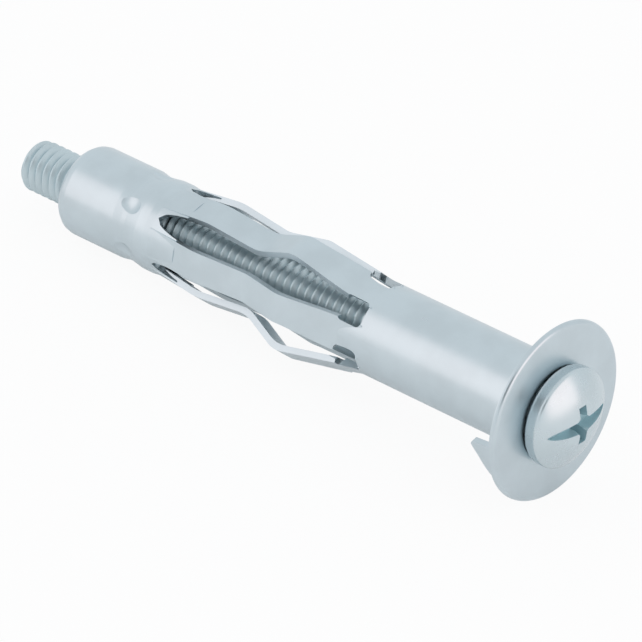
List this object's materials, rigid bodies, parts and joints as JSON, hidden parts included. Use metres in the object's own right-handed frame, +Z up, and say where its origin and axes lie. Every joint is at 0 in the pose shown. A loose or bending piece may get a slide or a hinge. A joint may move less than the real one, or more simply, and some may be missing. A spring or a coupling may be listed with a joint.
{
  "type": "hollow wall anchor",
  "caption": "Hollow wall anchor: flanged sheet-steel sleeve with slotted, bent legs, a captive nut in its rear end and a domed machine screw through it.",
  "frame": {"origin": "on the screw axis, in the rear face of the flange, which is the face that lands on the wall", "axes": "+X along the screw axis from the nut towards the head, out of the wall; +Z up"},
  "size_m": [0.0781, 0.0202, 0.0202],
  "materials": {
    "sleeve": "bright zinc-plated sheet",
    "nut": "bright zinc-plated",
    "screw": "bright zinc-plated"
  },
  "bodies": {
    "anchor": {"sleeve": "sleeve", "nut": "nut"},
    "screw": {"screw": "screw"}
  },
  "joints": [
    {"name": "screw_turn", "type": "hinge", "parent": "anchor", "child": "screw", "pos_m": [0, 0, 0], "axis": [1, 0, 0], "continuous": true}
  ]
}
